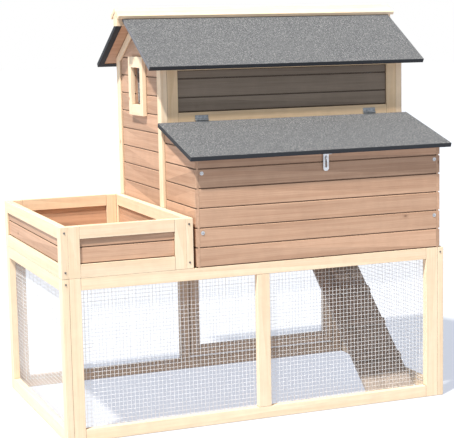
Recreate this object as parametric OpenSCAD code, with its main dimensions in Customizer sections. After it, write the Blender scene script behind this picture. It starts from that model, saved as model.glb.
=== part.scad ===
// Raised chicken coop: a mesh run on legs with an open planter on its left and a gabled
// house with a full-width nest box on its right.
// Layout axes: X to the right from the run's left face, Y back from the run's front face,
// Z up from the ground. place() then moves the middle of the plan to the origin.

/* [Run] */
// Length of the run along X
run_l = 1290; // [1250:5:1400]
// Depth of the run along Y
run_d = 735; // [700:5:800]
// Height of the run panels
run_h = 500; // [480:5:560]
// Thickness of every panel frame
panel_t = 22; // [20:1:26]
// Width of the common stiles
stile_w = 36; // [32:1:42]
// Width of the front middle and right stiles
wide_stile_w = 42; // [36:1:48]
// Height of the common rails
rail_w = 37; // [32:1:42]
// Position of the front middle stile along X
mid_stile_x = 625; // [560:5:700]

/* [Planter] */
// Length of the planter along X
planter_l = 415; // [380:5:430]
// Height of the planter panels
planter_h = 156; // [140:2:200]

/* [House] */
// Width of the house along X
house_l = 870; // [820:2:872]
// Height of the house front wall above the run
wall_h = 630; // [600:5:700]
// Height of the house front panel above the nest box lid
front_panel_h = 208; // [190:2:240]
// Slope of the roof in degrees
roof_pitch = 31; // [25:1:32]
// Roof overhang past each gable
gable_over = 52; // [40:2:80]
// Roof overhang at the front eave
front_over = 50; // [40:2:70]
// Roof overhang at the rear eave
rear_over = 48; // [40:2:60]
// Width of the window opening
window_w = 93; // [70:1:110]
// Height of the window opening
window_h = 123; // [100:1:140]
// Width of the battens at the window's sides
window_batten = 28; // [24:1:36]

/* [Nest box] */
// Depth of the nest box in front of the house
nest_d = 270; // [230:5:280]
// Gap between the nest box side and the house corner
nest_inset = 10; // [5:1:14]
// Slope of the lid in degrees
lid_pitch = 16; // [12:1:20]
// Height of the lid's hinge axis above the run
lid_axis_h = 434; // [425:1:445]
// Lid overhang past the nest box ends
lid_over = 22; // [10:1:28]
// Lid overhang past the nest box front
lid_front_over = 34; // [20:1:40]

/* [Boards] */
// Visible height of one tongue-and-groove plank
plank_pitch = 60.5; // [55:0.5:66]
// Thickness of the planks
plank_t = 10; // [8:1:11]
// Thickness of the roof and lid boards
roof_board_t = 10; // [8:1:12]
// Thickness of the felt
felt_t = 2; // [1.5:0.5:2.5]

/* [Ramp] */
// Width of the ramp
ramp_w = 178; // [150:2:200]
// Slope of the ramp in degrees
ramp_pitch = 40.5; // [38:0.5:44]
// Number of cleats on the ramp
cleat_count = 4; // [3:1:5]
// Spacing of the ramp's cleats
cleat_pitch = 147; // [120:1:150]

/* [Hidden] */

$fn = 48;
gap = 0.3;              // joint line between two boards
floor_t = 12;           // house, nest and planter floor boards
mesh_t = 0.5;           // solid sheet that holds the place of the welded mesh
roof_gap = 0.4;         // room between the walls' tops and the roof boards
plank_recess = 6;       // planks sit this far behind the frame's face
planter_rail_w = 38;
bottom_rail_w = 38;
pine = [0.93, 0.78, 0.56];
stain = [0.60, 0.46, 0.37];
dark_stain = [0.36, 0.28, 0.23];
felt_grey = [0.36, 0.37, 0.38];
zinc = [0.75, 0.77, 0.78];

house_x0 = planter_l;
house_x1 = house_x0 + house_l;
house_y0 = nest_d;
house_y1 = run_d;
ridge_y = (house_y0 + house_y1) / 2;
inner_x0 = house_x0 + panel_t;
inner_x1 = house_x1 - panel_t;
wall_top = run_h + wall_h;
front_panel_z = wall_top - front_panel_h;
apex_z = wall_top + (ridge_y - house_y0) * tan(roof_pitch);
wall_plank_base = run_h + 26.5;   // a joint between two planks of the house's walls

nest_x0 = house_x0 + nest_inset;
nest_x1 = house_x1 - nest_inset;
nest_side_t = 12;

roof_x0 = house_x0 - gable_over;
roof_x1 = house_x1 + gable_over;
felt_lip = 18;          // felt turned under along the roof's edges
roof_t = roof_board_t + felt_t;

// Butt hinge sizes
barrel_r = 3;
axis_lift = barrel_r + gap;   // height of a hinge's axis over the wood it is screwed to
pin_r = 1.25;
bore_r = pin_r + 0.05;
leaf_t = 1.2;
leaf_w = 15;
leaf_h = 45;

lid_axis_y = nest_d - axis_lift;
lid_axis_z = run_h + lid_axis_h;
lid_rear_cut = 3.2;     // the lid stops this far down the slope from its hinge axis
lid_l = (lid_axis_y + lid_front_over) / cos(lid_pitch);
lid_x0 = nest_x0 - lid_over;
lid_x1 = nest_x1 + lid_over;
lid_t = roof_board_t + 2 * felt_t;
lid_hinges = [lid_x0 + 150, lid_x1 - 138];

hasp_x = 863;
hasp_axis_y = -5;
hasp_r = 3;
strap_w = 19;
strap_l = 60;
staple_r = 1.5;
staple_bend = 4;

ramp_x1 = house_x1 - 51;
ramp_x0 = ramp_x1 - ramp_w;
ramp_axis_y = 656;
ramp_axis_z = run_h + gap - axis_lift;
ramp_t = 10;
ramp_top_cut = 3.2;      // the ramp's boards stop this far down the slope from their hinge axis
ramp_l = (ramp_axis_z - (axis_lift + ramp_t) * cos(ramp_pitch) - 1) / sin(ramp_pitch);
hatch_x0 = ramp_x0 - 10;
hatch_x1 = ramp_x1 + 10;
hatch_l = 259;           // length of the pop hole along Y
hatch_y1 = ramp_axis_y + 3;
hatch_y0 = hatch_y1 - hatch_l;

// Rear run door between the rear frame's middle and right stiles
door_gap = 2;
run_bay_x0 = 656;
run_bay_x1 = run_l - panel_t - stile_w;
run_door_z0 = 45;
run_door_z1 = run_h - rail_w - door_gap;
run_door_hinges = [run_door_z0 + 70, run_door_z1 - 70];

// Rear house door in the rear wall's left bay
rear_mid_x = (inner_x0 + inner_x1 - stile_w) / 2;
house_bay_x0 = inner_x0 + stile_w;
house_bay_x1 = rear_mid_x;
house_door_z0 = run_h + bottom_rail_w + door_gap;
house_door_z1 = wall_top - stile_w - door_gap;
house_door_hinges = [house_door_z0 + 80, house_door_z1 - 80];

button_l = 60;
button_w = 18;
button_t = 8;

// Middle of the whole plan: the run's left face to the ridge's right end,
// and the lid's front edge to the rear eave
cap_over = 22;          // the ridge's battens stick out this far past the roof
rear_edge = house_y1 + rear_over + felt_t * cos(roof_pitch) + roof_t * sin(roof_pitch);
front_edge = lid_axis_y - (lid_l + felt_t) * cos(lid_pitch) + axis_lift * sin(lid_pitch);
plan_x = (roof_x1 + cap_over) / 2;
plan_y = (rear_edge + front_edge) / 2;

module place() {
    translate([-plan_x, -plan_y, 0]) children();
}

module block(low, high) {
    translate(low) cube(high - low);
}

// Turns elevation coordinates (u along the wall, depth inward, z up) to each side of the coop
module facing(side, at) {
    if (side == "front") translate([0, at, 0]) children();
    if (side == "rear") translate([0, at, 0]) mirror([0, 1, 0]) children();
    if (side == "left") translate([at, 0, 0]) rotate([0, 0, 90]) mirror([0, 1, 0]) children();
    if (side == "right") translate([at, 0, 0]) rotate([0, 0, 90]) children();
}

// Extrudes an outline drawn in Y and Z along X
module along_x(x0, x1) {
    translate([x0, 0, 0]) rotate([90, 0, 90]) linear_extrude(x1 - x0) children();
}

// Two stiles with a top and a bottom rail between them
module panel_frame(u0, u1, z0, z1, stile, low_rail, top_rail) {
    block([u0, 0, z0], [u0 + stile, panel_t, z1]);
    block([u1 - stile, 0, z0], [u1, panel_t, z1]);
    block([u0 + stile + gap, 0, z0], [u1 - stile - gap, panel_t, z0 + low_rail]);
    block([u0 + stile + gap, 0, z1 - top_rail], [u1 - stile - gap, panel_t, z1]);
}

// One plank running along u: a rabbet under its face and a chamfer on top make the groove
module plank(u0, u1, z0, z1) {
    edge = 1.5;
    groove = min(3.5, (z1 - z0) / 3);
    along_x(u0, u1)
        polygon([[4, z0], [4, z0 + groove], [0, z0 + groove], [0, z1 - edge], [edge, z1],
                 [plank_t, z1], [plank_t, z0]]);
}

// A wall of planks whose joints fall at base + n * plank_pitch
module plank_wall(u0, u1, z0, z1, base) {
    first = floor((z0 - base) / plank_pitch);
    last = ceil((z1 - base) / plank_pitch) - 1;
    for (i = [first : last])
        plank(u0 + gap, u1 - gap,
              max(z0 + gap, base + i * plank_pitch + gap / 2),
              min(z1 - gap, base + (i + 1) * plank_pitch - gap / 2));
}

// ---- Hinges ----
// The axis is local Z from 0 to leaf_h, the wood's face is the plane y = -axis_lift,
// the fixed leaf points to +X and the moving leaf to -X.
module knuckle(z0, z1) {
    difference() {
        union() {
            translate([0, 0, z0]) cylinder(r = barrel_r, h = z1 - z0);
            block([0, -axis_lift, z0], [barrel_r + 0.6, leaf_t - axis_lift, z1]);
        }
        translate([0, 0, z0 - 1]) cylinder(r = bore_r, h = z1 - z0 + 2);
    }
}

// Flat leaf with the heads of its two screws
module leaf_plate() {
    screw_inset = 8;
    head_r = 2.6;
    head_h = 0.9;
    block([barrel_r + 0.5, -axis_lift, 0], [leaf_w, leaf_t - axis_lift, leaf_h]);
    for (z = [screw_inset, leaf_h - screw_inset])
        translate([(leaf_w + barrel_r) / 2 + 0.3, leaf_t - axis_lift - 0.1, z]) rotate([-90, 0, 0])
            cylinder(r = head_r, h = head_h + 0.1);
}

module fixed_leaf() {
    third = leaf_h / 3;
    leaf_plate();
    knuckle(0, third - gap);
    knuckle(2 * third + gap, leaf_h);
}

module moving_leaf() {
    third = leaf_h / 3;
    mirror([1, 0, 0]) {
        leaf_plate();
        knuckle(third, 2 * third);
    }
}

module hinge_pin() {
    translate([0, 0, -1]) cylinder(r = pin_r, h = leaf_h + 2);
}

// Puts a hinge's local frame on each hinge of a door, the lid or the ramp.
// hand = 1 has the fixed leaf on the door's right, seen from behind the coop.
module rear_hinge(x, z, hand) {
    translate([x, house_y1 + axis_lift, z - leaf_h / 2]) mirror([hand > 0 ? 0 : 1, 0, 0]) children();
}

module run_door_hinge_places() {
    for (z = run_door_hinges) rear_hinge(run_bay_x1 - door_gap / 2, z, 1) children();
}

module house_door_hinge_places() {
    for (z = house_door_hinges) rear_hinge(house_bay_x0 + door_gap / 2, z, -1) children();
}

// The axis lies along X; the wall leaf stands up from it
module lid_wall_hinge_places() {
    for (x = lid_hinges)
        translate([x - leaf_h / 2, lid_axis_y, lid_axis_z])
            rotate([90, 0, 90]) rotate([0, 0, 90]) children();
}

// The same axis, turned so that the moving leaf lies down the lid's slope
module lid_hinge_places() {
    for (x = lid_hinges)
        translate([x - leaf_h / 2, lid_axis_y, lid_axis_z])
            rotate([90, 0, 90]) rotate([0, 0, lid_pitch]) children();
}

// Two hinges under the pop hole's rear edge; the fixed leaf lies under the floor
module ramp_floor_hinge_places() {
    for (x = [ramp_x0 + 35, ramp_x1 - 35])
        translate([x + leaf_h / 2, ramp_axis_y, ramp_axis_z])
            rotate([90, 0, -90]) rotate([0, 0, 180]) children();
}

module ramp_hinge_places() {
    for (x = [ramp_x0 + 35, ramp_x1 - 35])
        translate([x - leaf_h / 2, ramp_axis_y, ramp_axis_z])
            rotate([90, 0, 90]) rotate([0, 0, ramp_pitch]) children();
}

// ---- Run ----
module run_front_frame() {
    color(pine) facing("front", 0) {
        x0 = panel_t + gap;
        x1 = run_l - panel_t - gap;
        block([x0, 0, 0], [x0 + stile_w, panel_t, run_h]);
        block([x1 - wide_stile_w, 0, 0], [x1, panel_t, run_h]);
        block([mid_stile_x, 0, bottom_rail_w + gap],
              [mid_stile_x + wide_stile_w, panel_t, run_h - rail_w - gap]);
        block([x0 + stile_w + gap, 0, 0], [x1 - wide_stile_w - gap, panel_t, bottom_rail_w]);
        block([x0 + stile_w + gap, 0, run_h - rail_w], [x1 - wide_stile_w - gap, panel_t, run_h]);
    }
}

// Mesh sheet stapled behind the frame: it laps the frame by 14 mm
module mesh_sheet(u0, u1, z0, z1) {
    lap = 14;
    block([u0 - lap, panel_t, z0 - lap], [u1 + lap, panel_t + mesh_t, z1 + lap]);
}

module run_front_mesh() {
    color(zinc) facing("front", 0)
        mesh_sheet(panel_t + stile_w, run_l - panel_t - wide_stile_w, bottom_rail_w, run_h - rail_w);
}

module run_side_frame() {
    panel_frame(0, run_d, 0, run_h, stile_w, bottom_rail_w, rail_w);
}

module run_left_frame() {
    color(pine) facing("left", 0) run_side_frame();
}

module run_right_frame() {
    color(pine) facing("right", run_l) run_side_frame();
}

module run_side_mesh() {
    color(zinc) {
        facing("left", 0) mesh_sheet(stile_w, run_d - stile_w, bottom_rail_w, run_h - rail_w);
        facing("right", run_l) mesh_sheet(stile_w, run_d - stile_w, bottom_rail_w, run_h - rail_w);
    }
}

module run_rear_frame() {
    color(pine) facing("rear", run_d) {
        panel_frame(panel_t + gap, run_l - panel_t - gap, 0, run_h, stile_w, bottom_rail_w, rail_w);
        block([run_bay_x0 - stile_w, 0, bottom_rail_w + gap],
              [run_bay_x0, panel_t, run_h - rail_w - gap]);
    }
}

module run_rear_mesh() {
    color(zinc) facing("rear", run_d)
        mesh_sheet(panel_t + stile_w, run_bay_x0 - stile_w, bottom_rail_w, run_h - rail_w);
}

// Carries the planter's right side, the house's left wall and the floor's edge
module cross_rail() {
    color(pine) block([planter_l - panel_t, panel_t + 1, run_h - rail_w],
                      [planter_l + panel_t + 4, run_d - panel_t - 1, run_h]);
}

module run_door_frame() {
    color(pine) facing("rear", run_d)
        panel_frame(run_bay_x0 + door_gap, run_bay_x1 - door_gap, run_door_z0, run_door_z1,
                    stile_w, stile_w, stile_w);
}

module run_door_mesh() {
    color(zinc) facing("rear", run_d)
        mesh_sheet(run_bay_x0 + door_gap + stile_w, run_bay_x1 - door_gap - stile_w,
                   run_door_z0 + stile_w, run_door_z1 - stile_w);
}

module run_door_leaves() {
    color(zinc) run_door_hinge_places() moving_leaf();
}

// A bar that turns on a screw; it stands upright when the door is free
module turn_button(x, z) {
    translate([x, run_d + 0.6, z]) rotate([-90, 0, 0]) {
        linear_extrude(button_t) {
            square([button_w, button_l - button_w], center = true);
            for (end = [-1, 1]) translate([0, end * (button_l - button_w) / 2]) circle(d = button_w);
        }
        translate([0, 0, button_t]) cylinder(r = 4.5, h = 1.5);
    }
}

module run_door_button() {
    color(pine) turn_button(run_bay_x0 - stile_w / 2 + 4, run_h * 0.55);
}

module house_door_button() {
    color(pine) turn_button(house_bay_x1 + stile_w / 2 - 4, (house_door_z0 + house_door_z1) / 2);
}

// ---- Planter ----
module planter_frame(u0, u1) {
    panel_frame(u0, u1, run_h + gap, run_h + planter_h, stile_w, planter_rail_w + 3, planter_rail_w);
}

module planter_planks(u0, u1) {
    translate([0, plank_recess, 0])
        plank_wall(u0 + stile_w, u1 - stile_w, run_h + planter_rail_w + 3,
                   run_h + planter_h - planter_rail_w, run_h + 30);
}

module planter_front_frame() {
    color(pine) facing("front", 0) planter_frame(panel_t + gap, planter_l - panel_t - gap);
}

module planter_front_planks() {
    color(stain) facing("front", 0) planter_planks(panel_t + gap, planter_l - panel_t - gap);
}

module planter_left_frame() {
    color(pine) facing("left", 0) planter_frame(0, run_d);
}

module planter_left_planks() {
    color(stain) facing("left", 0) planter_planks(0, run_d);
}

module planter_right_frame() {
    color(pine) facing("right", planter_l) planter_frame(0, run_d);
}

module planter_right_planks() {
    color(stain) facing("right", planter_l) planter_planks(0, run_d);
}

module planter_rear_frame() {
    color(pine) facing("rear", run_d) planter_frame(panel_t + gap, planter_l - panel_t - gap);
}

module planter_rear_planks() {
    color(stain) facing("rear", run_d) planter_planks(panel_t + gap, planter_l - panel_t - gap);
}

module floor_boards(x0, x1, y0, y1, z, count) {
    board = (y1 - y0) / count;
    for (i = [0 : count - 1])
        block([x0, y0 + i * board + gap, z], [x1, y0 + (i + 1) * board - gap, z + floor_t]);
}

module planter_floor() {
    color(stain) floor_boards(panel_t + 1, planter_l - panel_t - 1, panel_t + 1, run_d - panel_t - 1,
                              run_h + gap, 7);
}

// ---- House ----
// Outline of a gable wall in Y and Z, set in by inset at its ends and below the roof
module gable_outline(inset, z0) {
    drop = inset / cos(roof_pitch) + roof_gap;
    lift = inset * tan(roof_pitch);
    polygon([[house_y0 + inset, z0], [house_y1 - inset, z0], [house_y1 - inset, wall_top + lift - drop],
             [ridge_y, apex_z - drop], [house_y0 + inset, wall_top + lift - drop]]);
}

// Room for the ridge beam where it crosses a gable wall
module beam_notch() {
    block([roof_x0 - 50, ridge_y - beam_w / 2 - gap, beam_z0 - gap],
          [roof_x1 + 50, ridge_y + beam_w / 2 + gap, apex_z + 60]);
}

rafter_w = 28;

module gable_frame() {
    rail_z = run_h + gap;
    difference() {
        along_x(0, panel_t) {
            for (side = [0, 1]) {
                intersection() {
                    gable_outline(0, rail_z);
                    translate([side ? house_y1 - stile_w : house_y0, rail_z])
                        square([stile_w, wall_h + 200]);
                }
                rafter_outline(side);
            }
            translate([house_y0 + stile_w + gap, rail_z])
                square([house_y1 - house_y0 - 2 * (stile_w + gap), bottom_rail_w]);
        }
        translate([-roof_x0, 0, 0]) beam_notch();
    }
}

// One rafter between a stile and the ridge line
module rafter_outline(side) {
    foot = stile_w + gap;
    top = ridge_y - house_y0 - gap;
    deep = rafter_w / cos(roof_pitch);
    rise = tan(roof_pitch);
    z = wall_top - roof_gap;
    outline = [[foot, z + foot * rise], [top, z + top * rise],
               [top, z + top * rise - deep], [foot, z + foot * rise - deep]];
    polygon([for (p = outline) side ? [house_y1 - p[0], p[1]] : [house_y0 + p[0], p[1]]]);
}

module window_place() {
    sill = 56;
    translate([0, 0, front_panel_z + sill]) children();
}

module gable_planks() {
    difference() {
        intersection() {
            facing("left", plank_recess)
                plank_wall(house_y0 + stile_w, house_y1 - stile_w, run_h + bottom_rail_w + gap, apex_z,
                           wall_plank_base);
            along_x(0, panel_t) gable_inner_outline();
        }
        translate([-roof_x0, 0, 0]) beam_notch();
        window_place()
            block([-50, ridge_y - window_w / 2, 0], [50, ridge_y + window_w / 2, window_h]);
    }
}

// The space inside a gable wall's stiles, rail and rafters
module gable_inner_outline() {
    drop = rafter_w / cos(roof_pitch) + 2 * roof_gap;
    foot = stile_w + gap;
    lift = foot * tan(roof_pitch);
    polygon([[house_y0 + foot, run_h], [house_y1 - foot, run_h], [house_y1 - foot, wall_top + lift - drop],
             [ridge_y, apex_z - drop], [house_y0 + foot, wall_top + lift - drop]]);
}

module gable_mirror() {
    translate([house_x0 + house_x1, 0, 0]) mirror([1, 0, 0]) children();
}

module house_left_frame() {
    color(pine) translate([house_x0, 0, 0]) gable_frame();
}

module house_left_planks() {
    color(stain) translate([house_x0, 0, 0]) gable_planks();
}

module house_right_frame() {
    color(pine) gable_mirror() translate([house_x0, 0, 0]) gable_frame();
}

module house_right_planks() {
    color(stain) gable_mirror() translate([house_x0, 0, 0]) gable_planks();
}

// Four battens round the window opening, lying on the planks and standing proud of the wall
module window_battens() {
    y0 = ridge_y - window_w / 2;
    y1 = ridge_y + window_w / 2;
    proud = 8;
    window_place() {
        for (z = [[-stile_w, -gap], [window_h + gap, window_h + stile_w]])
            block([-proud, y0, z[0]], [plank_recess - gap, y1, z[1]]);
        for (y = [[y0 - window_batten, y0 - gap], [y1 + gap, y1 + window_batten]])
            block([-proud, y[0], -stile_w], [plank_recess - gap, y[1], window_h + stile_w]);
    }
}

module window_frame() {
    color(pine) {
        translate([house_x0, 0, 0]) window_battens();
        gable_mirror() translate([house_x0, 0, 0]) window_battens();
    }
}

module window_sheet() {
    lap = 12;
    x = plank_recess + plank_t + gap;
    window_place()
        block([x, ridge_y - window_w / 2 - lap, -lap],
              [x + mesh_t, ridge_y + window_w / 2 + lap, window_h + lap]);
}

module window_mesh() {
    color(zinc) {
        translate([house_x0, 0, 0]) window_sheet();
        gable_mirror() translate([house_x0, 0, 0]) window_sheet();
    }
}

module house_front_frame() {
    color(pine) facing("front", house_y0)
        panel_frame(inner_x0 + gap, inner_x1 - gap, front_panel_z, wall_top - roof_gap,
                    stile_w, rail_w, stile_w);
}

module house_front_planks() {
    color(dark_stain) facing("front", house_y0 + plank_recess)
        plank_wall(inner_x0 + stile_w + gap, inner_x1 - stile_w - gap, front_panel_z + rail_w,
                   wall_top - stile_w - roof_gap, front_panel_z + 23);
}

module house_rear_frame() {
    color(pine) facing("rear", house_y1) {
        panel_frame(inner_x0 + gap, inner_x1 - gap, run_h + gap, wall_top - roof_gap,
                    stile_w, bottom_rail_w, stile_w);
        block([rear_mid_x, 0, run_h + bottom_rail_w + 2 * gap],
              [rear_mid_x + stile_w, panel_t, wall_top - stile_w - 2 * gap - roof_gap]);
    }
}

module house_rear_planks() {
    color(stain) facing("rear", house_y1 - plank_recess)
        plank_wall(rear_mid_x + stile_w, inner_x1 - stile_w - gap, run_h + bottom_rail_w + 2 * gap,
                   wall_top - stile_w - roof_gap, wall_plank_base);
}

module house_door_frame() {
    color(pine) facing("rear", house_y1)
        panel_frame(house_bay_x0 + gap + door_gap, house_bay_x1 - door_gap, house_door_z0, house_door_z1,
                    stile_w, stile_w, stile_w);
}

module house_door_planks() {
    color(stain) facing("rear", house_y1 - plank_recess)
        plank_wall(house_bay_x0 + gap + door_gap + stile_w, house_bay_x1 - door_gap - stile_w,
                   house_door_z0 + stile_w, house_door_z1 - stile_w, wall_plank_base);
}

module house_door_leaves() {
    color(zinc) house_door_hinge_places() moving_leaf();
}

// Boards round the pop hole
module house_floor() {
    z = run_h + gap;
    y0 = house_y0;
    y1 = house_y1 - panel_t - 1;
    color(stain) {
        floor_boards(inner_x0 + 1, inner_x1 - 1, y0, hatch_y0, z, 2);
        floor_boards(inner_x0 + 1, hatch_x0, hatch_y0, hatch_y1, z, 3);
        floor_boards(hatch_x1, inner_x1 - 1, hatch_y0, hatch_y1, z, 3);
        floor_boards(inner_x0 + 1, inner_x1 - 1, hatch_y1, y1, z, 1);
    }
}

module perch() {
    inset = plank_recess + plank_t + gap;
    radius = 14;
    ahead = 90;         // in front of the ridge line
    above = 120;        // over the run's top
    color(pine) translate([house_x0 + inset, ridge_y - ahead, run_h + above])
        rotate([0, 90, 0]) cylinder(r = radius, h = house_l - 2 * inset);
}

// ---- Roof ----
beam_w = 40;
beam_z0 = apex_z - 31;
cap_w = 52;
cap_t = 12;
cap_top_z = apex_z + (roof_t + cap_t + roof_gap) / cos(roof_pitch);

// The slope's local frame: y up the slope from the eave, z square to it, z = 0 under the board
module front_slope() {
    translate([0, house_y0 - front_over, wall_top - front_over * tan(roof_pitch)])
        rotate([roof_pitch, 0, 0]) children();
}

module rear_slope() {
    translate([0, house_y1 + rear_over, wall_top - rear_over * tan(roof_pitch)])
        mirror([0, 1, 0]) rotate([roof_pitch, 0, 0]) children();
}

function slope_length(over) = ((house_y1 - house_y0) / 2 + over - beam_w / 2 - 0.6) / cos(roof_pitch);

module roof_board(length) {
    block([roof_x0, 0, 0], [roof_x1, length, roof_board_t]);
}

// Felt over a board's top, its three free edges and a narrow lip underneath
module felt_skin(x0, x1, length, board_t, lip) {
    difference() {
        block([x0 - felt_t, -felt_t, -felt_t], [x1 + felt_t, length - 1, board_t + felt_t]);
        block([x0, 0, 0], [x1, length + 1, board_t]);
        block([x0 + lip, lip, -felt_t - 1], [x1 - lip, length + 1, 1]);
    }
}

module front_roof_board() {
    color(stain) front_slope() roof_board(slope_length(front_over));
}

module front_roof_felt() {
    color(felt_grey) front_slope()
        felt_skin(roof_x0, roof_x1, slope_length(front_over), roof_board_t, felt_lip);
}

module rear_roof_board() {
    color(stain) rear_slope() roof_board(slope_length(rear_over));
}

module rear_roof_felt() {
    color(felt_grey) rear_slope()
        felt_skin(roof_x0, roof_x1, slope_length(rear_over), roof_board_t, felt_lip);
}

module ridge_beam() {
    half = beam_w / 2;
    top = cap_top_z - cap_t / cos(roof_pitch) - gap;
    color(pine) along_x(roof_x0 - cap_over + 2, roof_x1 + cap_over - 2)
        polygon([[ridge_y - half, beam_z0], [ridge_y + half, beam_z0],
                 [ridge_y + half, top - half * tan(roof_pitch)], [ridge_y, top],
                 [ridge_y - half, top - half * tan(roof_pitch)]]);
}

// Two battens that meet over the ridge, each lying on its slope
module ridge_cap() {
    s = sin(roof_pitch);
    c = cos(roof_pitch);
    color(pine) for (side = [-1, 1]) along_x(roof_x0 - cap_over, roof_x1 + cap_over)
        polygon([for (p = [[gap, cap_top_z], [cap_w * c, cap_top_z - cap_w * s],
                           [cap_w * c - cap_t * s, cap_top_z - cap_w * s - cap_t * c],
                           [gap, cap_top_z - cap_t / c]])
                 [ridge_y + side * p[0], p[1]]]);
}

// ---- Nest box ----
// Height of the lid's underside over a point at depth y, less a small gap
function under_lid(y) = lid_axis_z - (axis_lift + lid_t) / cos(lid_pitch)
                        + (y - lid_axis_y) * tan(lid_pitch) - 0.6;

module nest_sides() {
    color(stain) intersection() {
        union() {
            facing("left", nest_x0) plank_wall_thick();
            facing("right", nest_x1) plank_wall_thick();
        }
        along_x(nest_x0 - 1, nest_x1 + 1)
            polygon([[0, run_h], [nest_d - gap, run_h], [nest_d - gap, under_lid(nest_d)],
                     [0, under_lid(0)]]);
    }
}

module plank_wall_thick() {
    scale_t = nest_side_t / plank_t;
    scale([1, scale_t, 1]) plank_wall(-gap, nest_d, run_h, under_lid(nest_d), run_h);
}

module nest_front_planks() {
    color(stain) facing("front", 0)
        plank_wall(nest_x0 + nest_side_t, nest_x1 - nest_side_t, run_h, under_lid(0), run_h);
}

module nest_floor() {
    color(stain) floor_boards(nest_x0 + nest_side_t + gap, nest_x1 - nest_side_t - gap,
                              panel_t + 1, nest_d, run_h + gap, 2);
}

// Two dividers make three nesting bays; they stop short of the lid
module nest_dividers() {
    bay = (nest_x1 - nest_x0) / 3;
    top = run_h + 230;
    color(stain) for (i = [1, 2])
        block([nest_x0 + i * bay - plank_t / 2, plank_t + 1, run_h + floor_t + 2 * gap],
              [nest_x0 + i * bay + plank_t / 2, nest_d - gap, top]);
}

// The lid's local frame: y runs up the slope, z is square to it, the hinge axis is at the
// origin and the lid's top lies axis_lift below it
module lid_slope() {
    translate([0, lid_axis_y, lid_axis_z]) rotate([lid_pitch, 0, 0]) children();
}

module nest_lid_board() {
    color(stain) lid_slope()
        block([lid_x0, -lid_l, felt_t - axis_lift - lid_t],
              [lid_x1, -lid_rear_cut, -axis_lift - felt_t]);
}

module nest_lid_felt() {
    lip = 20;
    color(felt_grey) lid_slope() translate([0, -lid_l, felt_t - axis_lift - lid_t])
        felt_skin(lid_x0, lid_x1, lid_l - lid_rear_cut, roof_board_t, lip);
}

module lid_leaves() {
    color(zinc) lid_hinge_places() moving_leaf();
}

// ---- Hasp under the lid's front edge ----
hasp_axis_z = under_lid(hasp_axis_y) + 0.6 - (hasp_r + gap) / cos(lid_pitch);
hasp_third = strap_w / 3;

module hasp_place() {
    translate([hasp_x - strap_w / 2, hasp_axis_y, hasp_axis_z]) rotate([90, 0, 90]) children();
}

// Leaf screwed under the lid, with the two outer knuckles
module hasp_leaf() {
    top = hasp_r - 0.4;
    reach = 24;
    color(zinc) hasp_place() rotate([0, 0, lid_pitch]) difference() {
        union() {
            block([-reach, top - leaf_t, 0], [-hasp_r - 0.6, top, strap_w]);
            for (z = [0, 2 * hasp_third + gap]) {
                block([-hasp_r - 1, top - leaf_t, z], [-0.8, top, z + hasp_third - gap]);
                translate([0, 0, z]) cylinder(r = hasp_r, h = hasp_third - gap);
            }
        }
        translate([0, 0, -1]) cylinder(r = bore_r, h = strap_w + 2);
    }
}

// Strap with a slot for the staple; its pin is riveted into it
module hasp_strap() {
    slot_top = 12;
    slot_end = 49;
    slot_w = 5.2;
    strap_t = 1.5;
    tongue_w = hasp_third - gap;
    color(zinc) {
        hasp_place() {
            translate([0, 0, hasp_third + gap / 2])
                cylinder(r = hasp_r, h = hasp_third - gap / 2);
            translate([0, 0, -1]) cylinder(r = pin_r, h = strap_w + 2);
        }
        translate([hasp_x, hasp_axis_y + strap_t / 2, hasp_axis_z]) rotate([90, 0, 0])
            linear_extrude(strap_t)
            difference() {
                union() {
                    translate([-strap_w / 2 + hasp_third + gap, -hasp_r - 2])
                        square([tongue_w, hasp_r + 2]);
                    translate([-strap_w / 2, -strap_l + strap_w / 2])
                        square([strap_w, strap_l - strap_w / 2 - hasp_r - 1]);
                    translate([0, -strap_l + strap_w / 2]) circle(d = strap_w);
                }
                translate([-slot_w / 2, -slot_end]) square([slot_w, slot_end - slot_top]);
            }
    }
}

// Wire staple through the strap's slot: a half ring on two legs
module hasp_staple() {
    reach = 5.5;
    color(zinc) translate([hasp_x, 0, hasp_axis_z - 18.5]) {
        for (s = [-1, 1]) translate([0, plank_t - 2, s * staple_bend]) rotate([90, 0, 0])
            cylinder(r = staple_r, h = reach + plank_t - 2);
        translate([0, -reach, 0]) rotate([0, 90, 0]) rotate([0, 0, 180])
            rotate_extrude(angle = 180) translate([staple_bend, 0]) circle(r = staple_r);
    }
}

// ---- Ramp ----
// Local frame: y up the slope with the hinge axis at the origin, z square to the slope
module ramp_slope() {
    translate([0, ramp_axis_y, ramp_axis_z]) rotate([ramp_pitch, 0, 0]) children();
}

module ramp_boards() {
    third = ramp_w / 3;
    color(dark_stain) ramp_slope() for (i = [0 : 2])
        block([ramp_x0 + i * third + gap, -ramp_l, -axis_lift - ramp_t],
              [ramp_x0 + (i + 1) * third - gap, -ramp_top_cut, -axis_lift]);
}

module ramp_cleats() {
    lowest = 130;
    width = 22;
    height = 10;
    color(dark_stain) ramp_slope() for (i = [0 : cleat_count - 1])
        translate([0, -ramp_l + lowest + i * cleat_pitch, -axis_lift])
            block([ramp_x0 + 1, 0, gap / 2], [ramp_x1 - 1, width, height]);
}

module ramp_leaves() {
    color(zinc) ramp_hinge_places() moving_leaf();
}

// ---- Hinge parts that stay with the frame ----
module fixed_leaves() {
    color(zinc) {
        lid_wall_hinge_places() fixed_leaf();
        run_door_hinge_places() fixed_leaf();
        house_door_hinge_places() fixed_leaf();
        ramp_floor_hinge_places() fixed_leaf();
    }
}

module hinge_pins() {
    color(zinc) {
        lid_wall_hinge_places() hinge_pin();
        run_door_hinge_places() hinge_pin();
        house_door_hinge_places() hinge_pin();
        ramp_floor_hinge_places() hinge_pin();
    }
}

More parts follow.
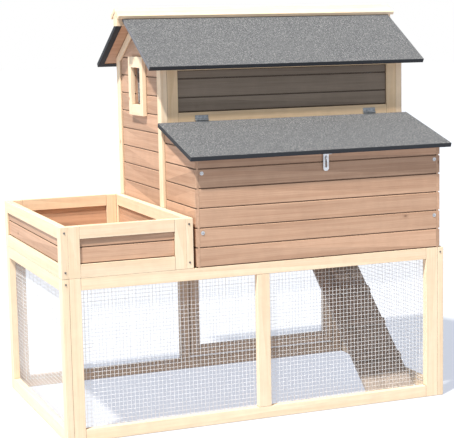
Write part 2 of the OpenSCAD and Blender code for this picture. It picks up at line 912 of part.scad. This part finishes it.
// A screw with a wide flange and a recessed head, driven in along Y
module front_screw(x, y, z, r) {
    flange = 0.9;
    head = 1.2;
    shank = 15;
    shank_r = 1.4;
    translate([x, y, z]) rotate([90, 0, 0]) difference() {
        union() {
            translate([0, 0, -shank]) cylinder(r = shank_r, h = shank);
            cylinder(r = r, h = flange);
            translate([0, 0, flange]) cylinder(r = r * 0.6, h = head);
        }
        translate([0, 0, flange]) cylinder(r = r * 0.36, h = head + 1);
    }
}

module screws() {
    edge = panel_t / 2 + 1;
    small = 3;
    large = 6;
    color(zinc) {
        for (z = [run_h + 20, run_h + planter_h - 18])
            for (x = [edge, planter_l - edge]) front_screw(x, 0, z, small);
        for (x = [edge, run_l - edge]) front_screw(x, 0, run_h - 16, small);
        for (x = [nest_x0 + 22, nest_x1 - 20])
            for (z = [run_h + 107, run_h + 290]) front_screw(x, 0, z, large);
    }
}

place() run_front_frame();
place() run_front_mesh();
place() run_left_frame();
place() run_right_frame();
place() run_side_mesh();
place() run_rear_frame();
place() run_rear_mesh();
place() cross_rail();
place() run_door_frame();
place() run_door_mesh();
place() run_door_leaves();
place() run_door_button();
place() planter_front_frame();
place() planter_front_planks();
place() planter_left_frame();
place() planter_left_planks();
place() planter_right_frame();
place() planter_right_planks();
place() planter_rear_frame();
place() planter_rear_planks();
place() planter_floor();
place() house_left_frame();
place() house_left_planks();
place() house_right_frame();
place() house_right_planks();
place() window_frame();
place() window_mesh();
place() house_front_frame();
place() house_front_planks();
place() house_rear_frame();
place() house_rear_planks();
place() house_door_frame();
place() house_door_planks();
place() house_door_leaves();
place() house_door_button();
place() house_floor();
place() perch();
place() front_roof_board();
place() front_roof_felt();
place() rear_roof_board();
place() rear_roof_felt();
place() ridge_beam();
place() ridge_cap();
place() nest_sides();
place() nest_front_planks();
place() nest_floor();
place() nest_dividers();
place() nest_lid_board();
place() nest_lid_felt();
place() lid_leaves();
place() hasp_leaf();
place() hasp_strap();
place() hasp_staple();
place() ramp_boards();
place() ramp_cleats();
place() ramp_leaves();
place() fixed_leaves();
place() hinge_pins();
place() screws();
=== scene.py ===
# Looks of the raised chicken coop: wood, felt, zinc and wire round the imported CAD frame.
# Lengths are in metres and in the CAD frame: X right, Y back, Z up, origin on the ground.
import math
import random
from collections import namedtuple

import bpy
import numpy as np
from mathutils import Matrix, Vector


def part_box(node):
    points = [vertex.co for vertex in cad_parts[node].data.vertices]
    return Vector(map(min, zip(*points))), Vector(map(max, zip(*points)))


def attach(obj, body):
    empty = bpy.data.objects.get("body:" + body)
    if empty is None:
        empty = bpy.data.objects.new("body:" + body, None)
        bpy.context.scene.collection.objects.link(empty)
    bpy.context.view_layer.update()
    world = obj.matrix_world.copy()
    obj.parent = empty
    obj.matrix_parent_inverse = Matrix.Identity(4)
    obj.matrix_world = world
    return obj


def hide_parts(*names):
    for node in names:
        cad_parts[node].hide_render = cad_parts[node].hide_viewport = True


MM = 0.001
SEED = 738

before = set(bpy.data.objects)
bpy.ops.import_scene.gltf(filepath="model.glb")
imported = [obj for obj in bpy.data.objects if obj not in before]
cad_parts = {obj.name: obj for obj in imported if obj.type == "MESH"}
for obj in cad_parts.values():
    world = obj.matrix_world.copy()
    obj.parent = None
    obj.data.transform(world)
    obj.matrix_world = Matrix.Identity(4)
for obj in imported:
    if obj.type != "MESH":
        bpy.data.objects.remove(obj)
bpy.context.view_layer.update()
random.seed(SEED)

# ---------------------------------------------------------------- shader helpers


class Shader:
    """One material's node tree, with a short way to add a node and wire its inputs."""

    def __init__(self, name):
        self.material = bpy.data.materials.new(name)
        self.material.use_nodes = True
        self.tree = self.material.node_tree
        self.tree.nodes.clear()

    def feed(self, socket, value):
        """Links a node's output to a socket, or sets a plain value on it."""
        if isinstance(value, bpy.types.NodeSocket):
            self.tree.links.new(value, socket)
        else:
            socket.default_value = value

    def add(self, kind, settings=None, **inputs):
        """Adds a node. Its inputs are named with _ for a space, or numbered as i0, i1 and so on."""
        made = self.tree.nodes.new("ShaderNode" + kind)
        for key, value in (settings or {}).items():
            setattr(made, key, value)
        for key, value in inputs.items():
            numbered = key[0] == "i" and key[1:].isdigit()
            self.feed(made.inputs[int(key[1:]) if numbered else key.replace("_", " ")], value)
        return made

    def math(self, operation, first, second=0.0):
        return self.add("Math", {"operation": operation}, i0=first, i1=second).outputs[0]

    def vector(self, operation, first, second=(0.0, 0.0, 0.0)):
        made = self.add("VectorMath", {"operation": operation}, i0=first, i1=second)
        return made.outputs["Value" if operation == "DOT_PRODUCT" else "Vector"]

    def scale(self, vector, factor):
        return self.add("VectorMath", {"operation": "SCALE"}, i0=vector, Scale=factor).outputs["Vector"]

    def mix(self, factor, first, second):
        """Blends two colours; sockets 6, 7 and 2 are the Mix node's colour ones."""
        return self.add("Mix", {"data_type": "RGBA"}, i0=factor, i6=first, i7=second).outputs[2]

    def ramp(self, factor, low, high):
        """Smooth step of a value from 0 at low to 1 at high."""
        made = self.add("MapRange", {"interpolation_type": "SMOOTHSTEP"},
                        Value=factor, From_Min=low, From_Max=high)
        return made.outputs["Result"]

    def noise(self, vector, scale, detail=2.0, roughness=0.5):
        return self.add("TexNoise", Vector=vector, Scale=scale, Detail=detail,
                        Roughness=roughness).outputs["Fac"]

    def edge_wear(self, radius):
        """1 along sharp edges and 0 on flats, broken up by noise."""
        place = self.add("TexCoord").outputs["Object"]
        rounded = self.add("Bevel", {"samples": 4}, Radius=radius).outputs["Normal"]
        flat = self.add("NewGeometry").outputs["Normal"]
        turn = self.math("SUBTRACT", 1.0, self.vector("DOT_PRODUCT", rounded, flat))
        broken = self.ramp(self.noise(place, 35.0, 3.0), 0.35, 0.62)
        return self.math("MULTIPLY", self.ramp(turn, 0.004, 0.08), broken)

    def painted_hollow_shade(self, distance):
        """Painted shade: 1 deep in the joints between boards and in other hollows that ambient occlusion
        finds, and 0 on open faces.
        """
        open_share = self.add("AmbientOcclusion", {"samples": 6}, Distance=distance).outputs["AO"]
        return self.ramp(open_share, 0.86, 0.34)

    def finish(self, color, roughness, bump=None, bump_strength=0.3, bump_distance=0.0004, **plain):
        surface = self.add("BsdfPrincipled", Base_Color=color, Roughness=roughness)
        for key, value in plain.items():
            surface.inputs[key.replace("_", " ")].default_value = value
        if bump is not None:
            relief = self.add("Bump", Strength=bump_strength, Distance=bump_distance, Height=bump)
            self.tree.links.new(relief.outputs["Normal"], surface.inputs["Normal"])
        out = self.add("OutputMaterial")
        self.tree.links.new(surface.outputs["BSDF"], out.inputs["Surface"])
        return self.material


def rgb(red, green, blue):
    return (red, green, blue, 1.0)


# ---------------------------------------------------------------- materials

Wood = namedtuple("Wood", "early late knot worn spread gloss")

# Colours of early and late wood, of knots and of worn edges, how strongly boards differ, roughness
WOODS = {
    "pine": Wood(early=rgb(0.84, 0.675, 0.495), late=rgb(0.73, 0.54, 0.35),
                 knot=rgb(0.34, 0.17, 0.08), worn=rgb(0.90, 0.78, 0.62), spread=0.12, gloss=0.62),
    # Painted shade: a darker copy of pine for the house's front frame, which lies in the eave's shadow
    "eave_shaded_pine": Wood(early=rgb(0.74, 0.565, 0.375), late=rgb(0.63, 0.44, 0.25),
                      knot=rgb(0.30, 0.15, 0.06), worn=rgb(0.84, 0.69, 0.50), spread=0.10, gloss=0.62),
    "shaded_pine": Wood(early=rgb(0.60, 0.455, 0.34), late=rgb(0.48, 0.34, 0.235),
                        knot=rgb(0.24, 0.12, 0.06), worn=rgb(0.74, 0.60, 0.46), spread=0.12, gloss=0.64),
    "stain": Wood(early=rgb(0.54, 0.345, 0.235), late=rgb(0.38, 0.215, 0.135),
                  knot=rgb(0.15, 0.075, 0.04), worn=rgb(0.66, 0.48, 0.34), spread=0.30, gloss=0.60),
    # A darker stain for the front wall planks, partly painted shade of the eave's shadow
    "wall": Wood(early=rgb(0.23, 0.185, 0.145), late=rgb(0.16, 0.125, 0.095),
                 knot=rgb(0.07, 0.045, 0.03), worn=rgb(0.33, 0.26, 0.20), spread=0.22, gloss=0.66),
    "dark": Wood(early=rgb(0.42, 0.355, 0.31), late=rgb(0.27, 0.225, 0.195),
                 knot=rgb(0.10, 0.07, 0.05), worn=rgb(0.52, 0.43, 0.36), spread=0.20, gloss=0.66),
}
BOARD_SHIFT = (6.0, 0.22, 0.22)   # how far apart two boards' grain is taken
KNOT_SCALE = 11.0                 # cells per metre, one possible knot each
KNOT_STRETCH = (0.62, 1, 1)
KNOTLESS_SHARE = 0.72             # share of the cells with no knot
KNOT_REACH = 0.26                 # the grain bends out to here, in cells
KNOT_OUTER = 0.066
KNOT_INNER = 0.040
RING_SCALE = 62.0
RING_BEND = 0.024
RING_WEIGHT = 0.17
STREAK_WEIGHT = 0.52
FIBRE_WEIGHT = 0.30
CLOUD_DEPTH = 0.24                # slow changes of brightness along a board
WOOD_WEAR = 0.0016
# how far the painted shade in the wood's joints and hollows reaches
WOOD_SHADE_REACH = 0.005
MIDDLE = (0.5, 0.5, 0.5)
_wood_made = {}


def board_space(s, direction):
    """Coordinates whose X runs along the grain, shifted for each board, and each board's chance."""
    along = Vector(direction).normalized()
    square_to = Vector((1, 0, 0)) if abs(along.x) < 0.9 else Vector((0, 1, 0))
    side = along.cross(square_to).normalized()
    other = along.cross(side)
    place = s.add("TexCoord").outputs["Object"]
    axes = s.add("CombineXYZ")
    for socket, axis in zip("XYZ", (along, side, other)):
        s.feed(axes.inputs[socket], s.vector("DOT_PRODUCT", place, tuple(axis)))
    island = s.add("NewGeometry").outputs["Random Per Island"]
    chance = s.add("TexWhiteNoise", {"noise_dimensions": "1D"}, W=island)
    shift = s.vector("MULTIPLY", s.vector("SUBTRACT", chance.outputs["Color"], MIDDLE), BOARD_SHIFT)
    return s.vector("ADD", axes.outputs[0], shift), chance.outputs["Value"]


def knots(s, board):
    """Round cells, of which only some are drawn: how near a knot is, and 1 inside one."""
    cells = s.add("TexVoronoi", {"feature": "F1"}, Vector=s.vector("MULTIPLY", board, KNOT_STRETCH),
                  Scale=KNOT_SCALE, Randomness=1.0)
    cell_chance = s.add("SeparateColor", i0=cells.outputs["Color"]).outputs[0]
    drawn = s.math("GREATER_THAN", cell_chance, KNOTLESS_SHARE)
    near = s.math("MULTIPLY", s.ramp(cells.outputs["Distance"], KNOT_REACH, 0.0), drawn)
    knot = s.math("MULTIPLY", s.ramp(cells.outputs["Distance"], KNOT_OUTER, KNOT_INNER), drawn)
    return near, knot


def growth_rings(s, board, near):
    """Rings round a pith outside the board, bent by slow noise along it and pulled at its knots."""
    slow = s.add("TexNoise", Vector=s.vector("MULTIPLY", board, (1.0, 5.0, 5.0)), Scale=2.2, Detail=2.0)
    bend = s.vector("MULTIPLY", s.vector("SUBTRACT", slow.outputs["Color"], MIDDLE),
                    (0.0, RING_BEND, RING_BEND))
    bent = s.vector("ADD", s.vector("MULTIPLY", board, (0.05, 1, 1)), bend)
    pull = s.add("CombineXYZ", X=0.0, Y=s.math("MULTIPLY", near, 0.016), Z=s.math("MULTIPLY", near, 0.010))
    return s.add("TexWave", {"wave_type": "RINGS", "rings_direction": "X", "wave_profile": "SAW"},
                 Vector=s.vector("ADD", bent, pull.outputs[0]), Scale=RING_SCALE, Distortion=1.2,
                 Detail=2.0, Detail_Scale=1.4).outputs["Fac"]


def wood(kind, direction):
    """Softwood whose grain runs along a direction; every separate board gets its own grain."""
    key = (kind,) + tuple(round(c, 2) for c in direction)
    if key in _wood_made:
        return _wood_made[key]
    look = WOODS[kind]
    s = Shader("wood_%s_%d" % (kind, len(_wood_made)))
    board, chance = board_space(s, direction)
    near, knot = knots(s, board)
    rings = growth_rings(s, board, near)
    fibre = s.noise(s.vector("MULTIPLY", board, (9.0, 620.0, 620.0)), 1.0, 3.0, 0.6)
    streak = s.noise(s.vector("MULTIPLY", board, (1.6, 70.0, 70.0)), 1.0, 3.0, 0.55)
    cloud = s.noise(s.vector("MULTIPLY", board, (1.6, 0.9, 0.9)), 15.0, 4.0, 0.6)

    line = s.math("MULTIPLY", s.ramp(rings, 0.15, 1.0), RING_WEIGHT)
    line = s.math("ADD", line, s.math("MULTIPLY", s.ramp(streak, 0.34, 0.72), STREAK_WEIGHT))
    line = s.math("ADD", line, s.math("MULTIPLY", s.ramp(fibre, 0.42, 0.75), FIBRE_WEIGHT))
    grain = s.mix(line, look.early, look.late)
    tone = s.math("ADD", 1.0 - look.spread / 2, s.math("MULTIPLY", chance, look.spread))
    clouded = s.math("ADD", 1.0 - CLOUD_DEPTH / 2, s.math("MULTIPLY", cloud, CLOUD_DEPTH))
    toned = s.scale(grain, s.math("MULTIPLY", tone, clouded))
    ringed = s.mix(s.math("MULTIPLY", s.ramp(near, 0.55, 0.95), 0.22), toned, look.knot)
    knotted = s.mix(s.math("MULTIPLY", knot, 0.85), ringed, look.knot)
    rubbed = s.mix(s.math("MULTIPLY", s.edge_wear(WOOD_WEAR), 0.45), knotted, look.worn)
    # Painted shade: the joints and hollows are darkened towards black, as if in shade
    joint_shade_color = s.mix(0.5, look.knot, rgb(0, 0, 0))
    color = s.mix(s.math("MULTIPLY", s.painted_hollow_shade(WOOD_SHADE_REACH), 0.85), rubbed, joint_shade_color)
    rough = s.math("ADD", look.gloss - 0.06, s.math("MULTIPLY", fibre, 0.16))
    relief = s.math("ADD", s.math("MULTIPLY", fibre, 0.6), s.math("MULTIPLY", rings, 0.25))
    _wood_made[key] = s.finish(color, rough, relief, 0.35, 0.0005, Specular_IOR_Level=0.35)
    return _wood_made[key]


# Painted shade: dark bitumen on felt faces that do not face up and on the rear roof's ends
SHADED_BITUMEN = rgb(0.036, 0.039, 0.045)
PALE_END = rgb(0.17, 0.172, 0.185)    # a roof end that catches the light
GRANULE_SCALE = 720.0                 # granules per metre


def felt(name, end_light_and_shade):
    """Mineral-surfaced roofing felt: fine grey granules, slow patches, bare bitumen rubbed on the edges,
    painted shade on the faces that do not face up, and the ends facing sideways in end_light_and_shade, a
    painted light on one roof and a painted shade on the other.
    """
    s = Shader(name)
    place = s.add("TexCoord").outputs["Object"]
    cells = s.add("TexVoronoi", Vector=place, Scale=GRANULE_SCALE)
    granule = s.add("SeparateColor", i0=cells.outputs["Color"]).outputs[0]
    speck = s.mix(s.ramp(granule, 0.25, 0.95), rgb(0.060, 0.063, 0.070), rgb(0.36, 0.362, 0.365))
    clump = s.noise(place, 205.0, 3.0, 0.75)
    patch = s.noise(place, 5.0, 3.0)
    mottled = s.mix(s.ramp(clump, 0.36, 0.64), rgb(0.078, 0.082, 0.090), speck)
    toned = s.mix(s.math("MULTIPLY", s.ramp(patch, 0.35, 0.7), 0.30), mottled, rgb(0.125, 0.128, 0.133))
    edge = s.edge_wear(0.0022)
    worn = s.mix(s.math("MULTIPLY", edge, 0.75), toned, rgb(0.032, 0.032, 0.033))
    facing = s.add("SeparateXYZ", Vector=s.add("NewGeometry").outputs["True Normal"])
    # Painted shade: faces that do not face up turn to dark bitumen
    shaded_lip = s.mix(s.ramp(facing.outputs["Z"], 0.45, 0.60), SHADED_BITUMEN, worn)
    # Painted light and shade on the ends facing sideways: pale on the front roof, dark on the rear
    color = s.mix(s.ramp(s.math("ABSOLUTE", facing.outputs["X"]), 0.6, 0.8), shaded_lip, end_light_and_shade)
    rough = s.math("ADD", 0.78, s.math("MULTIPLY", clump, 0.15))
    relief = s.math("ADD", cells.outputs["Distance"], s.math("MULTIPLY", clump, 1.5))
    return s.finish(color, rough, relief, 0.55, 0.0007, Specular_IOR_Level=0.3)


def zinc(name, base, dull, roughness, metallic=0.9, hollow_shade=0.85):
    """Zinc-plated steel with cloudy patches, rubbed bright edges and painted shade in its hollows."""
    s = Shader(name)
    place = s.add("TexCoord").outputs["Object"]
    spangle = s.add("TexVoronoi", Vector=place, Scale=260.0).outputs["Distance"]
    cloud = s.noise(place, 90.0, 4.0, 0.6)
    tone = s.mix(s.ramp(cloud, 0.35, 0.7), base, dull)
    edge = s.edge_wear(0.0006)
    color = s.mix(edge, tone, rgb(0.92, 0.93, 0.94))
    # Painted shade: hollow_shade darkens the hollows towards black
    if hollow_shade:
        color = s.mix(s.math("MULTIPLY", s.painted_hollow_shade(0.0025), hollow_shade), color, rgb(0.05, 0.05, 0.05))
    rough = s.math("ADD", roughness, s.math("MULTIPLY", cloud, 0.22))
    relief = s.math("ADD", s.math("MULTIPLY", spangle, 0.4), cloud)
    return s.finish(color, rough, relief, 0.12, 0.0002, Metallic=metallic)


def floor_paint():
    s = Shader("studio_floor")
    place = s.add("TexCoord").outputs["Object"]
    color = s.mix(s.noise(place, 0.8, 3.0), rgb(0.22, 0.22, 0.22), rgb(0.26, 0.26, 0.26))
    return s.finish(color, s.math("ADD", 0.8, s.math("MULTIPLY", s.noise(place, 4.0), 0.1)),
                    Emission_Color=rgb(0.80, 0.86, 1.0), Emission_Strength=0.64)


# ---------------------------------------------------------------- CAD nodes' finish

PINE_NODES = [
    "run_front_frame", "run_left_frame", "run_right_frame", "cross_rail",
    "run_door_button", "planter_front_frame", "planter_left_frame",
    "planter_right_frame", "planter_rear_frame", "house_left_frame", "house_right_frame",
    "window_frame", "house_rear_frame", "house_door_frame",
    "house_door_button", "perch", "ridge_beam", "ridge_cap",
]
EAVE_SHADED_PINE_NODES = ["house_front_frame"]
SHADED_PINE_NODES = ["run_rear_frame", "run_door_frame"]
STAIN_NODES = [
    "planter_front_planks", "planter_left_planks", "planter_right_planks", "planter_rear_planks",
    "planter_floor", "house_left_planks", "house_right_planks", "house_rear_planks",
    "house_door_planks", "house_floor", "front_roof_board", "rear_roof_board", "nest_sides",
    "nest_front_planks", "nest_floor", "nest_dividers", "nest_lid_board",
]
WALL_NODES = ["house_front_planks"]
DARK_NODES = ["ramp_boards", "ramp_cleats"]
FELT_NODES = ["rear_roof_felt", "nest_lid_felt"]
FRONT_FELT_NODES = ["front_roof_felt"]
LEAF_NODES = ["fixed_leaves", "lid_leaves", "run_door_leaves", "house_door_leaves", "ramp_leaves"]
BRIGHT_NODES = ["hinge_pins", "hasp_leaf", "hasp_strap", "hasp_staple"]


def solids_of(mesh):
    """The polygons of each separate solid in a mesh, as lists of indices."""
    leader = {}

    def find(key):
        while leader[key] != key:
            leader[key] = leader[leader[key]]
            key = leader[key]
        return key

    keys = [tuple(round(c, 5) for c in v.co) for v in mesh.vertices]
    for key in keys:
        leader.setdefault(key, key)
    for polygon in mesh.polygons:
        first = find(keys[polygon.vertices[0]])
        for index in polygon.vertices[1:]:
            leader[find(keys[index])] = first
    groups = {}
    for polygon in mesh.polygons:
        groups.setdefault(find(keys[polygon.vertices[0]]), []).append(polygon.index)
    return list(groups.values())


NEARLY_SQUARE = 0.96      # least cosine at which a board counts as square to the frame


def long_direction(mesh, polygons):
    """Unit vector along a solid's greatest length, square to the frame where it is nearly so."""
    used = sorted({i for p in polygons for i in mesh.polygons[p].vertices})
    points = np.array([mesh.vertices[i].co for i in used])
    points = points - points.mean(0)
    _, _, rows = np.linalg.svd(points, full_matrices=False)
    main = rows[0]
    strongest = int(np.argmax(np.abs(main)))
    if abs(main[strongest]) > NEARLY_SQUARE:
        main = np.eye(3)[strongest]
    return tuple(main * (1 if main[strongest] > 0 else -1))


WELD_REACH = 0.02 * MM
SHARP_ANGLE = math.radians(25)


def soften(obj, width):
    """Joins the split corners and rounds the edges of a CAD node without touching its mesh."""
    weld = obj.modifiers.new("weld", "WELD")
    weld.merge_threshold = WELD_REACH
    bevel = obj.modifiers.new("bevel", "BEVEL")
    bevel.width = width
    bevel.segments = 2
    bevel.limit_method = "ANGLE"
    bevel.angle_limit = SHARP_ANGLE
    level = obj.modifiers.new("level_faces", "WEIGHTED_NORMAL")
    level.mode = "FACE_AREA"
    level.weight = 100


def dress_wood(names, kind, width):
    """Gives each solid of the nodes its own grain direction, and bevels of a width."""
    for name in names:
        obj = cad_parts[name]
        mesh = obj.data
        mesh.materials.clear()
        slots = {}
        for polygons in solids_of(mesh):
            material = wood(kind, long_direction(mesh, polygons))
            if material.name not in slots:
                mesh.materials.append(material)
                slots[material.name] = len(mesh.materials) - 1
            for p in polygons:
                mesh.polygons[p].material_index = slots[material.name]
        soften(obj, width)


def dress_plain(names, material, width=0):
    for name in names:
        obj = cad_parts[name]
        obj.data.materials.clear()
        obj.data.materials.append(material)
        if width:
            soften(obj, width)


def dress_screws(bright, dark, small_head):
    """Screws with a head wider than small_head are bright, and the small ones are dark, a painted shade
    for their sunken heads.
    """
    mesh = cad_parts["screws"].data
    mesh.materials.clear()
    mesh.materials.append(bright)
    mesh.materials.append(dark)
    for polygons in solids_of(mesh):
        spread = [mesh.vertices[i].co.x for p in polygons for i in mesh.polygons[p].vertices]
        if max(spread) - min(spread) < small_head:
            for p in polygons:
                mesh.polygons[p].material_index = 1


# ---------------------------------------------------------------- welded mesh

PITCH = 12.7 * MM
WIRE_R = 0.45 * MM
WOBBLE = 0.25 * MM
LEVEL_DEPTH = 2.9 * WIRE_R     # the level wires' middles lie this far behind the sheet's face
UPRIGHT_BENDS = 6
LEVEL_BENDS = 10


class Wires:
    """Collects straight hexagonal wires with small bends into one mesh."""

    SIDES = 6

    def __init__(self):
        self.points = []
        self.faces = []

    def wire(self, start, end, pieces):
        start = Vector(start)
        end = Vector(end)
        axis = (end - start).normalized()
        side = axis.orthogonal().normalized()
        up = axis.cross(side)
        rings = []
        for step in range(pieces + 1):
            centre = start.lerp(end, step / pieces)
            if 0 < step < pieces:
                centre += (side * random.uniform(-1, 1) + up * random.uniform(-1, 1)) * WOBBLE
            ring = []
            for corner in range(self.SIDES):
                turn = 2 * math.pi * corner / self.SIDES
                ring.append(len(self.points))
                self.points.append(centre + (side * math.cos(turn) + up * math.sin(turn)) * WIRE_R)
            rings.append(ring)
        for low, high in zip(rings, rings[1:]):
            for a in range(self.SIDES):
                b = (a + 1) % self.SIDES
                self.faces.append((low[a], low[b], high[b], high[a]))
        self.faces.append(tuple(reversed(rings[0])))
        self.faces.append(tuple(rings[-1]))

    def panel(self, low, high, flat, outward):
        """A welded panel filling a box that is thin along the axis flat; outward is -1 or 1."""
        across = 1 - flat
        face = low[flat] if outward < 0 else high[flat]
        upright = face - outward * WIRE_R
        level = face - outward * LEVEL_DEPTH
        count = int((high[across] - low[across]) / PITCH)
        edge = (high[across] - low[across] - count * PITCH) / 2
        for i in range(count + 1):
            spot = [0.0, 0.0, low[2]]
            spot[flat] = upright
            spot[across] = low[across] + edge + i * PITCH
            top = list(spot)
            top[2] = high[2]
            self.wire(spot, top, UPRIGHT_BENDS)
        rows = int((high[2] - low[2]) / PITCH)
        margin = (high[2] - low[2] - rows * PITCH) / 2
        for i in range(rows + 1):
            spot = [0.0, 0.0, low[2] + margin + i * PITCH]
            spot[flat] = level
            spot[across] = low[across]
            far = list(spot)
            far[across] = high[across]
            self.wire(spot, far, LEVEL_BENDS)

    def build(self, name, material):
        mesh = bpy.data.meshes.new(name)
        mesh.from_pydata([tuple(p) for p in self.points], [], self.faces)
        mesh.polygons.foreach_set("use_smooth", [True] * len(mesh.polygons))
        mesh.materials.append(material)
        obj = bpy.data.objects.new(name, mesh)
        bpy.context.scene.collection.objects.link(obj)
        return obj


def sheet_boxes(node):
    """The corners of each separate sheet in a CAD mesh node."""
    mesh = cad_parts[node].data
    boxes = []
    for polygons in solids_of(mesh):
        points = [mesh.vertices[i].co for p in polygons for i in mesh.polygons[p].vertices]
        low = Vector([min(p[a] for p in points) for a in range(3)])
        high = Vector([max(p[a] for p in points) for a in range(3)])
        boxes.append((low, high))
    return boxes


def build_wires(node, body, material, around):
    """Draws wires in place of a node's sheets, the upright ones on the side away from around."""
    wires = Wires()
    for low, high in sheet_boxes(node):
        size = high - low
        flat = 0 if size.x < size.y else 1
        middle = (low + high) / 2
        wires.panel(low, high, flat, -1 if middle[flat] < around[flat] else 1)
    obj = wires.build("wires_" + node, material)
    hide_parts(node)
    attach(obj, body)


# ---------------------------------------------------------------- stage


FLOOR_RADIUS = 40


def make_floor():
    bpy.ops.mesh.primitive_circle_add(vertices=96, radius=FLOOR_RADIUS, fill_type="NGON")
    floor = bpy.context.object
    floor.name = "floor"
    floor.data.materials.append(floor_paint())


SKY_COLOR = rgb(0.94, 0.96, 1.0)
SKY_STRENGTH = 0.42
BACKDROP = rgb(1.0, 1.0, 1.0)
KEY_COLOR = (1.0, 0.965, 0.90)
KEY_RAYS = (0.417, 0.287, -0.862)
FILL_COLOR = (0.60, 0.82, 1.0)
FILL_RAYS = (0.95, 0.05, -0.30)


def make_light():
    """A dim sky that the camera sees as white, a warm sun and a wide cool fill from the left."""
    world = bpy.data.worlds.new("studio")
    bpy.context.scene.world = world
    world.use_nodes = True
    tree = world.node_tree
    tree.nodes.clear()
    soft = tree.nodes.new("ShaderNodeBackground")
    soft.inputs["Color"].default_value = SKY_COLOR
    soft.inputs["Strength"].default_value = SKY_STRENGTH
    seen = tree.nodes.new("ShaderNodeBackground")
    seen.inputs["Color"].default_value = BACKDROP
    seen.inputs["Strength"].default_value = 1.0
    path = tree.nodes.new("ShaderNodeLightPath")
    either = tree.nodes.new("ShaderNodeMixShader")
    out = tree.nodes.new("ShaderNodeOutputWorld")
    tree.links.new(path.outputs["Is Camera Ray"], either.inputs[0])
    tree.links.new(soft.outputs[0], either.inputs[1])
    tree.links.new(seen.outputs[0], either.inputs[2])
    tree.links.new(either.outputs[0], out.inputs["Surface"])

    add_sun("key", 6.3, 3.0, KEY_COLOR, KEY_RAYS)
    add_sun("side_fill", 0.8, 60.0, FILL_COLOR, FILL_RAYS)


def add_sun(name, energy, spread, color, rays):
    """A sun as wide as spread degrees whose light travels along rays."""
    light = bpy.data.lights.new(name, "SUN")
    light.energy = energy
    light.angle = math.radians(spread)
    light.color = color
    lamp = bpy.data.objects.new(name, light)
    bpy.context.scene.collection.objects.link(lamp)
    lamp.rotation_mode = "QUATERNION"
    lamp.rotation_quaternion = Vector(rays).to_track_quat("-Z", "Y")


# Angles are in radians: yaw turns it right from straight back, pitch tips it down and roll
# lifts its right side
CAMERA_PLACE = (-1.6882, -4.2566, 1.2242)
CAMERA_YAW = 0.377
CAMERA_PITCH = 0.138
CAMERA_ROLL = -0.020
CAMERA_LENS = 108.8
SENSOR_WIDTH = 36.0


def make_camera():
    data = bpy.data.cameras.new("camera")
    data.lens = CAMERA_LENS
    data.sensor_width = SENSOR_WIDTH
    camera = bpy.data.objects.new("camera", data)
    bpy.context.scene.collection.objects.link(camera)
    ahead = Vector((math.sin(CAMERA_YAW) * math.cos(CAMERA_PITCH),
                    math.cos(CAMERA_YAW) * math.cos(CAMERA_PITCH), -math.sin(CAMERA_PITCH)))
    right = Vector((math.cos(CAMERA_YAW), -math.sin(CAMERA_YAW), 0.0))
    up = right.cross(ahead)
    tilted_right = right * math.cos(CAMERA_ROLL) + up * math.sin(CAMERA_ROLL)
    tilted_up = up * math.cos(CAMERA_ROLL) - right * math.sin(CAMERA_ROLL)
    turn = Matrix((tilted_right, tilted_up, -ahead)).transposed().to_4x4()
    camera.matrix_world = Matrix.Translation(CAMERA_PLACE) @ turn
    bpy.context.scene.camera = camera


# ---------------------------------------------------------------- build

run_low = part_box("run_left_frame")[0]
run_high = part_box("run_right_frame")[1]
run_middle = (run_low + run_high) / 2
house_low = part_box("house_left_frame")[0]
house_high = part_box("house_right_frame")[1]
house_middle = (house_low + house_high) / 2

PINE_EDGE = 1.3 * MM
PLANK_EDGE = 0.35 * MM
FELT_EDGE = 0.8 * MM
SMALL_HEAD = 9 * MM

dress_wood(PINE_NODES, "pine", PINE_EDGE)
dress_wood(EAVE_SHADED_PINE_NODES, "eave_shaded_pine", PINE_EDGE)
dress_wood(SHADED_PINE_NODES, "shaded_pine", PINE_EDGE)
dress_wood(STAIN_NODES, "stain", PLANK_EDGE)
dress_wood(WALL_NODES, "wall", PLANK_EDGE)
dress_wood(DARK_NODES, "dark", PLANK_EDGE)
dress_plain(FELT_NODES, felt("roofing_felt", SHADED_BITUMEN), FELT_EDGE)
dress_plain(FRONT_FELT_NODES, felt("front_roofing_felt", PALE_END), FELT_EDGE)
bright_zinc = zinc("zinc_plate", rgb(0.80, 0.82, 0.84), rgb(0.55, 0.57, 0.60), 0.20)
# Painted shade: the hinge leaves get a darker copy of the zinc plate, for the shade they lie in
shaded_leaf_zinc = zinc("hinge_leaf_shaded", rgb(0.36, 0.39, 0.42), rgb(0.22, 0.24, 0.26), 0.30)
# Painted shade: the small screws' heads are dark for the shade in their countersinks
shaded_screw_zinc = zinc("screw_painted_shade", rgb(0.22, 0.20, 0.18), rgb(0.12, 0.11, 0.10), 0.35)
wire_zinc = zinc("galvanised_wire", rgb(0.93, 0.94, 0.95), rgb(0.82, 0.83, 0.85), 0.42,
                 metallic=0.15, hollow_shade=0)
dress_plain(LEAF_NODES, shaded_leaf_zinc)
dress_plain(BRIGHT_NODES, bright_zinc)
dress_screws(bright_zinc, shaded_screw_zinc, SMALL_HEAD)

build_wires("run_front_mesh", "coop", wire_zinc, run_middle)
build_wires("run_side_mesh", "coop", wire_zinc, run_middle)
build_wires("run_rear_mesh", "coop", wire_zinc, run_middle)
build_wires("run_door_mesh", "run_door", wire_zinc, run_middle)
build_wires("window_mesh", "coop", wire_zinc, house_middle)

make_floor()
make_light()
make_camera()
bpy.context.scene.view_settings.view_transform = "Standard"
